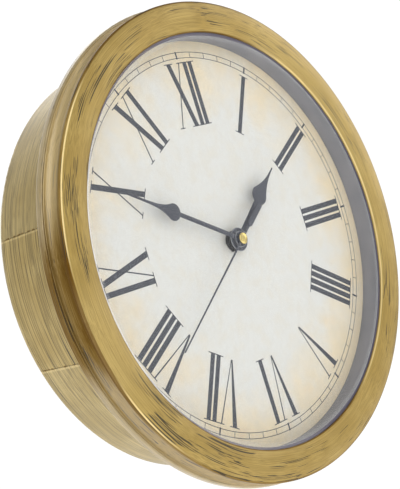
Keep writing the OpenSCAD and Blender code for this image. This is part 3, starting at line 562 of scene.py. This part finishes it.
# An I is a bar with a serif at both ends, a V is a heavy and a thin leg that meet at the foot, and an X is a
# heavy and a thin leg that cross. The minute marks are short bars between the rings, wider and longer at each
# hour.
strokes = []
for hour, places in bars.items():
    for at in places:
        strokes += [stroke(hour, at, 2.8, at, 2.8, heavy_ink),
                    serif(hour, at, 6.4, foot), serif(hour, at, 6.4, head)]
for hour, at in vees.items():
    strokes += [stroke(hour, at + 5.2, 0.9, at, 3.1, heavy_ink),
                stroke(hour, at + 5.6, 0.5, at + 9.6, 0.8, thin_ink),
                serif(hour, at, 6.6, head), serif(hour, at + 9.6, 4.2, head)]
for hour, at in crosses.items():
    strokes += [stroke(hour, at + 8.0, 3.0, at, 3.0, heavy_ink),
                stroke(hour, at - 3.0, 0.7, at + 8.2, 0.7, thin_ink),
                serif(hour, at, 6.4, head), serif(hour, at + 8.0, 6.4, foot),
                serif(hour, at + 8.2, 3.6, head), serif(hour, at - 3.0, 3.6, foot)]
for minute in range(60):
    wide, past = (1.0, 0.5) if minute % 5 == 0 else (0.36, 0.0)
    strokes.append(stroke(minute / 5, 0, wide, 0, wide, mark_ink, track_in - past, track_out + past))


def prisms(strokes):
    """Each stroke as a prism: its four corners in the numeral's own axes (across, outwards), turned to its
    hour, once just under the card's face and once at the top of the ink"""
    hour, low, low_w, high, high_w, lift, inner, outer = np.array(strokes, float).T
    across = np.stack([low - low_w / 2, low + low_w / 2, high + high_w / 2, high - high_w / 2], 1)
    out = np.stack([inner, inner, outer, outer], 1)
    turn = np.radians(30 * hour)[:, None]
    x = across * np.cos(turn) + out * np.sin(turn)
    z = out * np.cos(turn) - across * np.sin(turn)
    under, top = (dial_face + level[:, None] + 0 * x for level in (0 * lift - sunk, lift))
    points = np.concatenate([np.stack([x, level, z], -1) for level in (under, top)], axis=1)
    sides = np.array([[4, 5, 6, 7], [0, 1, 5, 4], [1, 2, 6, 5], [2, 3, 7, 6], [3, 0, 4, 7], [3, 2, 1, 0]])
    faces = np.arange(len(points))[:, None, None] * 8 + sides
    return points.reshape(-1, 3), [faces.reshape(-1, 4)]


def turned(profile, segments=384):
    """A ring turned about the clock's axis: a closed loop of (radius, height) points, anticlockwise when
    radius goes right and height goes up, carried once round"""
    rings = swept(*np.transpose(profile), segments)
    return rings.reshape(-1, 3), [grid_faces(len(rings), segments, ring=True, tube=True)]


def ink_ring(radius, half_w=0.17):
    """A thin printed circle"""
    inner, outer, low, high = radius - half_w, radius + half_w, dial_face - sunk, dial_face + ring_ink
    return turned([(inner, low), (outer, low), (outer, high), (inner, high)], 360)


def ink(name):
    """Matt ink, blotted a little by the card"""
    finish, shader, place = open_finish(name, Specular_IOR_Level=0.3)
    blot = noise(place, (3.0, 1.0, 3.0), detail=4.0, roughness=0.65)
    blot.rise(0.25, 0.75).blend((0.052, 0.058, 0.074), (0.078, 0.084, 0.102)).feed(shader, "Base Color")
    (0.62 + (blot - 0.5) * 0.2).feed(shader, "Roughness")
    return finish


printed = joined([prisms(strokes), ink_ring(track_in), ink_ring(track_out)])
make_piece("dial_print", printed, ink("slate_ink"), "door", smooth=False)


# Spacer ring: a grey moulding between the card and the lens, its inside slightly sloped, with a satin face
# that carries faint rubs and specks of dust.
def softened(corners, radius, steps=4):
    """A closed outline whose corners become small parabolas between points on both sides of them, that radius
    away but at most 0.4 of the side's length"""
    corners = np.asarray(corners, float)
    before, after = np.roll(corners, 1, axis=0) - corners, np.roll(corners, -1, axis=0) - corners
    start, end = (corners + side * np.minimum(radius / np.linalg.norm(side, axis=1, keepdims=True), 0.4)
                  for side in (before, after))
    t = np.linspace(0, 1, steps + 1)[None, :, None]
    curve = (1 - t) ** 2 * start[:, None] + 2 * t * (1 - t) * corners[:, None] + t ** 2 * end[:, None]
    return curve.reshape(-1, 2)


def satin_grey(name):
    """Grey plastic with slow clouds, dark specks, and pale scratches that run round the ring"""
    finish, shader, (x, h, z) = open_finish(name, Specular_IOR_Level=0.4)
    r = from_axis(x, z)
    cloud = noise((x, h, z), (18.0, 9.0, 18.0), detail=3.0)
    speck = noise((x, h, z), 0.9, detail=1.0).rise(0.74, 0.80)
    scratch = noise((x / r, z / r, h), (1 / 14, 1 / 14, 0.3)).rise(0.66, 0.72)
    grey = cloud.rise(0.3, 0.7).blend((0.200, 0.205, 0.235), (0.255, 0.258, 0.290))
    grey = (speck * 0.5).blend(grey, (0.12, 0.12, 0.13))
    (scratch * 0.18).blend(grey, (0.62, 0.62, 0.66)).feed(shader, "Base Color")
    (0.42 + (cloud - 0.5) * 0.2).feed(shader, "Roughness")
    return finish


spacer_section = softened([(106.7, 52.32), (111.0, 52.32), (111.0, 61.88), (107.3, 61.88)], 0.25)
spacer = make_piece("spacer_moulding", turned(spacer_section), satin_grey("grey_ring"), "door")
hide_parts("spacer_ring")


# Nut, its washer and the minute arbor: nut and washer in black oxide clamp the movement to the door through
# the dial's middle, and the arbor that comes out through them is turned brass.
def turned_brass(name, colour):
    """Brass with fine lathe rings round the clock's axis, tarnished in clouds"""
    finish, shader, (x, h, z) = open_finish(name, Metallic=1.0)
    rings = noise((from_axis(x, z), h, 0.0), 0.05, detail=1.0)
    tarnish = noise((x, h, z), 1.5, detail=3.0)
    tarnish.rise(0.3, 0.75).blend(colour, darker(colour, 0.72)).feed(shader, "Base Color")
    (0.16 + tarnish * 0.16).feed(shader, "Roughness")
    relief(shader, rings, 0.004)
    return finish


wear(turned_brass("arbor_brass", (0.68, 0.50, 0.22)), "minute_arbor")
wear(zinc("black_oxide", (0.045, 0.045, 0.05), 0.34), "mounting_nut", "nut_washer")


# Hands: stamped from thin sheet and pressed to a slight crown across their width, painted satin slate. Hour
# and minute hands are spades on round hubs; the second hand is a needle with a paddle for a tail.
sheet = 0.5
hour_hub_r, minute_hub_r, second_hub_r = 6.2, 4.2, 3.0


def satin_slate(name):
    """Dark paint with a fine orange peel, and a pale painted highlight along the edges of the two large hubs
    """
    finish, shader, (x, h, z) = open_finish(name, Specular_IOR_Level=0.4)
    r = from_axis(x, z)
    peel = noise((x, h, z), 0.6, detail=1.0)
    rub = noise((x, h, z), 7.0, detail=3.0)
    # Painted highlights along the edges of the two large hubs
    hour_hub_highlight, minute_hub_highlight = (r.rise(hub_r - 0.45, hub_r - 0.25) * r.rise(hub_r + 0.15, hub_r - 0.05)
                              for hub_r in (hour_hub_r, minute_hub_r))
    paint = rub.rise(0.3, 0.75).blend((0.042, 0.047, 0.066), (0.060, 0.066, 0.088))
    ((hour_hub_highlight + minute_hub_highlight) * 0.5).blend(paint, (0.42, 0.43, 0.46)).feed(shader, "Base Color")
    (0.40 + (rub - 0.5) * 0.2).feed(shader, "Roughness")
    relief(shader, peel, 0.01)
    return finish


def crowned(y, half_w, base, points_across=13):
    """A blade as (across, along, height) points: at each y its section is flat below and crowned above,
    falling with the square of the distance from the middle line to two thirds of the sheet at the edge"""
    u = np.sin(np.linspace(-np.pi / 2, np.pi / 2, points_across))
    level = np.concatenate([base + sheet * (1 - u ** 2 / 3), 0 * u + base])
    u = np.concatenate([-u, u])
    y, half_w = y[:, None], half_w[:, None]
    return capped(np.stack([half_w * u, y + 0 * u, level + 0 * y], -1))


def hub_ring(bore, r, base):
    """The hub: a washer with the blade's crown along its edge, as (across, along, height) points"""
    shoulder, top = base + 0.67 * sheet, base + sheet
    loop = softened([(bore, base), (r, base), (r, shoulder), (r - 0.5, top), (bore, top)], 0.06, 2)
    points, blocks = turned(loop, 64)
    return points[:, [0, 2, 1]], blocks


def spade(hub_r, stem_w, at, spade_r, reach, tip_w, narrowing, base, bore):
    """A spade hand. Its half width is the widest of the stem, the round spade and a point. The point starts
    0.45 spade radii past the spade's middle, where the circle's half width is 0.89 radii, and narrows to the
    tip as a power of the length that is left."""
    near, far = at - spade_r, at + spade_r
    hub_end = np.sqrt(hub_r ** 2 - stem_w ** 2 / 4) - 0.3
    y = np.concatenate([np.linspace(hub_end, near, 24), np.linspace(near, far, 60)[1:],
                        np.linspace(far, reach, 40)[1:]])
    start, wide = at + 0.45 * spade_r, 0.89 * spade_r
    left = np.clip((reach - y) / (reach - start), 0, 1)
    circle = np.sqrt(np.maximum(spade_r ** 2 - (y - at) ** 2, 0))
    point = np.where(y >= start, tip_w / 2 + (wide - tip_w / 2) * left ** narrowing, 0)
    stem = np.where(y <= at, stem_w / 2, 0)
    return joined([crowned(y, np.maximum.reduce([circle, point, stem]), base), hub_ring(bore, hub_r, base)])


hand_paint = satin_slate("slate_paint")


def lay_hand(name, shape, angle, body):
    """Turns a hand, drawn pointing to twelve as (across, along, height) points, clockwise to its angle"""
    points, blocks = shape
    u, y, h = points.T
    turn = np.radians(angle)
    laid = np.stack([u * np.cos(turn) + y * np.sin(turn), h, y * np.cos(turn) - u * np.sin(turn)], 1)
    hand = make_piece(name, (laid, blocks), hand_paint, body)
    hand.modifiers.new("crisp_edges", "EDGE_SPLIT").split_angle = np.radians(40)
    return hand


hour_shape = spade(hour_hub_r, stem_w=2.9, at=32.0, spade_r=5.2, reach=52.6, tip_w=0.7, narrowing=2.4,
                   base=56.7, bore=2.62)
hour_hand = lay_hand("hour_spade", hour_shape, 54, "hours")
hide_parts("hour_hand")

minute_shape = spade(minute_hub_r, stem_w=2.3, at=47.5, spade_r=4.4, reach=78.0, tip_w=1.2, narrowing=5.2,
                     base=58.0, bore=1.77)
minute_hand = lay_hand("minute_spade", minute_shape, 298, "minutes")
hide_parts("minute_hand")

second_h, hub_end, needle_end = 59.3, 2.6, 77.5
needle_y = np.linspace(hub_end, needle_end, 30)
needle = crowned(needle_y, np.interp(needle_y, [0, needle_end], [0.5, 0.33]), second_h)
paddle_end, paddle_start, neck = -25.5, -10.6, -9.0
tail_y = np.concatenate([np.linspace(paddle_end, paddle_start, 14), np.linspace(paddle_start, neck, 8)[1:],
                         np.linspace(neck, -hub_end, 6)[1:]])
tail_w = np.interp(tail_y, [paddle_end, paddle_start, neck, 0], [1.6, 1.6, 0.5, 0.5])
second_shape = joined([needle, crowned(tail_y, tail_w, second_h), hub_ring(0.82, second_hub_r, second_h)])
second_hand = lay_hand("second_needle", second_shape, 236, "seconds")
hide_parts("second_hand")


# Cap: a small domed button of polished brass, turned on a lathe. It is pressed on the second hand's shaft and
# covers the hand's hub.
def arc(centre, radius, first, last, count):
    """Points on a circle, or on an ellipse where radius is a pair, from one angle in degrees to another"""
    turn = np.radians(np.linspace(first, last, count))
    return np.array(centre) + np.array(radius) * np.stack([np.cos(turn), np.sin(turn)], 1)


def domed(profile, segments=96):
    """A solid turned about the clock's axis: (radius, height) points from the back pole to the front pole.
    The first and last lie on the axis and close the shape with fans"""
    r, h = np.transpose(profile)
    walls = swept(r[1:-1], h[1:-1], segments).reshape(-1, 3)
    poles = [[0, h[0], 0], [0, h[-1], 0]]
    this = np.arange(segments)
    following = (this + 1) % segments
    last = len(walls) - segments
    back = np.stack([0 * this + len(walls), following, this], 1)
    front = np.stack([0 * this + len(walls) + 1, last + this, last + following], 1)
    return np.concatenate([walls, poles]), [grid_faces(len(r) - 2, segments, ring=True), back, front]


dome = arc((0, 59.95), (3.0, 0.95), 0, 90, 14)[1:-1]
cap_profile = np.concatenate([[(0, 59.8), (2.8, 59.8), (3.0, 59.9)], dome, [(0, 60.9)]])
cap_brass = turned_brass("cap_brass", (0.83, 0.66, 0.24))
cap = make_piece("brass_cap", domed(cap_profile), cap_brass, "seconds")
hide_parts("second_cap")


# Lens: a clear disc with a ground bevel just inside the bezel's window, laid in against the bezel's seat and
# held there by the spacer ring. The bevel is not quite clear, and its outer edge shows pale lines of painted
# highlight and dark lines of painted shadow.
def clear_plastic(name):
    """Clear but for a slight haze, a faint bevel, and lines beside the window that paint a highlight and a
    shadow: white at the left, white and then dark at the right, dark between"""
    finish, shader, (x, h, z) = open_finish(name, Roughness=0.04, IOR=1.49)
    r = from_axis(x, z)
    front = h.rise(62.6, 62.75)
    bevel = r.rise(104.0, 104.4) * front
    left, right = x.rise(-76.0, -97.0), x.rise(30.0, 70.0)
    # Pale lines of painted highlight and dark lines of painted shadow beside the window's edge
    right_edge_highlight = right * r.rise(106.1, 106.3) * r.rise(106.9, 106.7) * 0.7
    edge_highlight = (left * r.rise(105.6, 105.9) + right_edge_highlight) * front
    edge_shadow = (r.rise(105.9, 106.3) * (1.0 - left) * (1.0 - right) + right * r.rise(106.8, 107.0)) * front
    haze = noise((x, h, z), (30.0, 1.0, 30.0), detail=3.0)
    edge_shadow.blend((0.93, 0.95, 0.97), (0.13, 0.115, 0.16)).feed(shader, "Base Color")
    (0.02 + haze * 0.01 + bevel * 0.10 + edge_highlight * 0.4 + edge_shadow * 0.68).feed(shader, "Alpha")
    return finish


# From the middle of the back out round the edge, then in over the rim that meets the seat and up the bevel.
lens_profile = [(0, 61.92), (110.85, 61.92), (110.98, 62.05), (110.98, 63.35), (110.85, 63.48),
                (107.62, 63.48), (107.6, 62.8), (104.15, 63.47), (104.0, 63.49), (0, 63.49)]
lens = make_piece("bevelled_lens", domed(lens_profile, 384), clear_plastic("clear_lens"), "door")
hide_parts("lens")


# Bezel: the moulded front ring, crowned across its face, with a rounded front edge and a deep cove round its
# side. Gold is dry-brushed over black, thickest on the crown, with a painted highlight along parts of the
# front edge and painted shade in the cove.
window_r, seat_r, edge_r = 107.6, 111.3, 124.0
back_h, seat_h, lip_h, crown_h, crown_rise = 53.02, 63.5, 64.5, 66.48, 2.0
half_w = (edge_r - window_r) / 2
crown_r = (half_w ** 2 + crown_rise ** 2) / (2 * crown_rise)
crown = np.array([window_r + half_w, crown_h - crown_r])
lip_turn = 180 - np.degrees(np.arccos(half_w / crown_r))

# The front edge is a bead that touches the crown from inside and the ring's outer radius.
bead_r = 0.5
bead_out = edge_r - bead_r - crown[0]
bead_up = np.sqrt((crown_r - bead_r) ** 2 - bead_out ** 2)
bead_turn = np.degrees(np.arctan2(bead_up, bead_out))

# The loop runs from the back's inner corner out to the foot, up the cove, over the bead and the crown, and
# round the window's lip to the seat. softened gives each corner five points, of which the loop takes those
# that it needs.
cove, cove_r, cove_drop = (edge_r, 58.2), 4.4, 5.16
foot_corner = (123.77, back_h)
edge_corner = [(123.96, 62.66), (edge_r, 62.8)]
back_corner = softened([(seat_r, seat_h), (seat_r, back_h), foot_corner], 0.25)[5:10]
crown_end = arc(crown, crown_r, lip_turn - 2, lip_turn - 2, 1)
window_lip = softened([*crown_end, (window_r, lip_h), (window_r, seat_h), (seat_r, seat_h)], 0.22)[5:-3]
bezel_section = np.concatenate([
    back_corner,
    [foot_corner],
    arc(cove, (cove_r, cove_drop), 267, 180, 16),
    arc(cove, cove_r, 180, 91, 14)[1:],
    edge_corner,
    arc(crown + [bead_out, bead_up], bead_r, 0, bead_turn, 9),
    arc(crown, crown_r, bead_turn, lip_turn - 0.9, 26)[1:],
    window_lip,
])


def bezel_bare(x, h, z, r):
    """The inside of the window's lip"""
    return r.rise(108.0, 107.5) * h.rise(63.9, 63.6)


def on_crown(x, h, z, r):
    """The crowned face, which the varnish hardly covers"""
    return h.rise(63.2, 64.2)


def bezel_shade(x, h, z, r):
    """Painted shade: brown in the cove, deepest at the left and towards the front edge; dark along the front
    edge, less at the upper left and low down, and along the window's lip save at the right"""
    left = x.rise(-60.0, -95.0)
    middle = z.rise(-58.0, -18.0) * z.rise(54.0, 10.0) * left
    cove_shading = r.rise(118.8, 120.0) * h.rise(62.9, 62.6) * (0.4 + h.rise(52.5, 60.5) * 0.6)
    edge = r.rise(122.9, 123.3) * h.rise(62.6, 62.9)
    less_edge_shade = z.rise(10.0, 45.0) * left * 0.45 + z.rise(-50.0, -75.0) * 0.35
    lip = r.rise(108.5, 107.8) * x.rise(70.0, 30.0) * 0.9
    return cove_shading * (0.18 + middle * 1.2) + edge * (0.9 + middle * 0.2 - less_edge_shade) + lip


def bezel_highlights_thick_gold(x, h, z, r):
    """Painted highlights: a thin line beside the front edge along two arcs at the left, weaker ones on the
    window's lip at the right, in the cove's upper left and on the crown's upper right; and paler gold where
    it is thick below the middle of the left"""
    apart = abs(r - 122.95 - z.rise(-20.0, -60.0) * 0.4)
    line = apart.rise(0.46, 0.18) * h.rise(64.0, 64.3) * x.rise(-45.0, -75.0)
    arcs = z.rise(98.0, 78.0) * z.rise(0.0, 30.0) + z.rise(-40.0, -58.0) * z.rise(-96.0, -66.0)
    lip = r.rise(108.6, 108.3) * h.rise(64.3, 64.6) * x.rise(40.0, 75.0) * 0.6
    cove_shading = r.rise(118.8, 120.0) * h.rise(61.6, 60.2) * x.rise(-45.0, -75.0) * z.rise(15.0, 50.0) * 0.36
    lit_upper_right = x.rise(0.0, 85.0) * z.rise(-75.0, 20.0) * 0.17
    thick = x.rise(-60.0, -100.0) * z.rise(10.0, -10.0) * z.rise(-60.0, -40.0) * 0.12
    return line * arcs + lip + cove_shading + on_crown(x, h, z, r) * (lit_upper_right + thick)


def bezel_missed(x, h, z, r):
    """On the crown most at the left and beside the window, less at the right, and least where the gold is
    thick below the middle of the left; fewer strokes in the cove, and none on the front edge"""
    left = x.rise(-60.0, -100.0)
    thick = z.rise(6.0, -6.0) * z.rise(-56.0, -42.0) * left
    by_window = r.rise(114.0, 110.0)
    face = 0.92 + left * 0.34 - thick * 0.7 - x.rise(20.0, 80.0) * 0.16 + by_window * 0.18
    return on_crown(x, h, z, r) * face + h.rise(63.0, 62.0) * 0.78


bezel_paint = dry_brushed("bezel_gold", gold=(0.45, 0.307, 0.080), pale=(0.53, 0.378, 0.118),
                          stroke=38.0, hair=0.36, sway=2.6, missed=0.225, contrast=0.28, coat=0.95,
                          bare_at=bezel_bare, dark_at=bezel_shade, bright_at=bezel_highlights_thick_gold,
                          missed_at=bezel_missed, matt_at=on_crown, start=285.0)
bezel = make_piece("bezel_moulding", turned(bezel_section), bezel_paint, "door")
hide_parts("bezel")


# Studio: a plain pale floor well below the hanging clock, a white surround that is brighter behind on the
# right, a broad soft light from the upper left, another from the front right and a weak one from the right,
# and a camera at the photograph's angle.
def pale_paint(name):
    """White that glows a little, with faint slow clouds"""
    finish, shader, place = open_finish(name, Roughness=0.9, Emission_Color=(1, 1, 1, 1),
                                        Emission_Strength=0.4)
    cloud = noise(place, (900.0, 900.0, 1.0))
    cloud.blend((0.90, 0.90, 0.90), (0.94, 0.94, 0.94)).feed(shader, "Base Color")
    return finish


floor_reach, floor_z = 1.2, -0.5
floor_corners = np.array([(-1, -1, 0), (1, -1, 0), (1, 1, 0), (-1, 1, 0)]) * floor_reach + [0, 0, floor_z]
floor_mesh = bpy.data.meshes.new("floor")
floor_mesh.from_pydata(floor_corners.tolist(), [], [(0, 1, 2, 3)])
floor_mesh.materials.append(pale_paint("pale_floor"))
floor = bpy.data.objects.new("floor", floor_mesh)
bpy.context.scene.collection.objects.link(floor)

# The camera sees plain white. The clock is lit by a surround that is brighter below on the left and, more so,
# behind on the right, which the ring's sides mirror.
world = bpy.data.worlds.new("studio")
bpy.context.scene.world = world
world.use_nodes = True
surround = Shade(world.node_tree)
seen = surround.node("ShaderNodeLightPath", {}, {}, output="Is Camera Ray")
way = surround.node("ShaderNodeTexCoord", {}, {}, output="Generated")
below_left = surround.node("ShaderNodeVectorMath", {"operation": "DOT_PRODUCT"},
                           {0: way, 1: (-0.45, 0.15, -0.88)}, output="Value")
right, behind = (surround.node("ShaderNodeSeparateXYZ", {}, {0: way}, output=axis) for axis in "XY")
mirrored = behind.rise(0.1, 0.7) * (0.05 + right.rise(-0.3, 0.5) * 1.5)
strength = 0.44 + below_left.rise(-0.4, 0.9) * 0.7 + mirrored
white = (1.0, 1.0, 1.0, 1.0)
light = surround.node("ShaderNodeBackground", {}, {"Color": white, "Strength": strength})
backdrop = surround.node("ShaderNodeBackground", {}, {"Color": white, "Strength": 1.05})
both = surround.node("ShaderNodeMixShader", {}, {0: seen, 1: light, 2: backdrop})
both.feed(world.node_tree.nodes["World Output"], "Surface")


def placed(at, back, up):
    """The placing of a lamp or camera that stands at a point in metres, with its back and its top turned to
    these directions"""
    back = np.array(back, float) / np.linalg.norm(back)
    side = np.cross(up, back)
    side /= np.linalg.norm(side)
    axes = np.column_stack([side, np.cross(back, side), back, at])
    return Matrix(np.vstack([axes, [0, 0, 0, 1]]))


clock_middle = (0, -0.05, 0)


def softbox(name, at, size, power):
    """A square area light at a point in metres, facing the clock's middle"""
    lamp = bpy.data.lights.new(name, "AREA")
    lamp.shape, lamp.size, lamp.energy, lamp.color = "SQUARE", size, power, (1.0, 0.99, 0.97)
    box = bpy.data.objects.new(name, lamp)
    bpy.context.scene.collection.objects.link(box)
    box.matrix_world = placed(at, back=np.subtract(at, clock_middle), up=(0, 0, 1))


softbox("key", (-1.0, -1.6, 0.9), size=2.0, power=11.5)
softbox("fill", (0.9, -1.5, 0.4), size=2.4, power=7.3)
softbox("side", (1.5, -0.5, 0.5), size=1.2, power=5.0)

# The camera's place, turn and lens were fitted to the outlines of rim, window, dial and drum in the
# photograph.
camera = bpy.data.objects.new("camera", bpy.data.cameras.new("camera"))
camera.data.lens, camera.data.sensor_width = 97.03, 36.0
camera.data.clip_end = 100.0
camera.matrix_world = placed((-0.5091, -0.4972, 0.0075), back=(-0.7368, -0.6762, 0.0062),
                             up=(0.2017, -0.2110, 0.9565))
bpy.context.scene.collection.objects.link(camera)
bpy.context.scene.camera = camera
bpy.context.scene.view_settings.view_transform = "Standard"
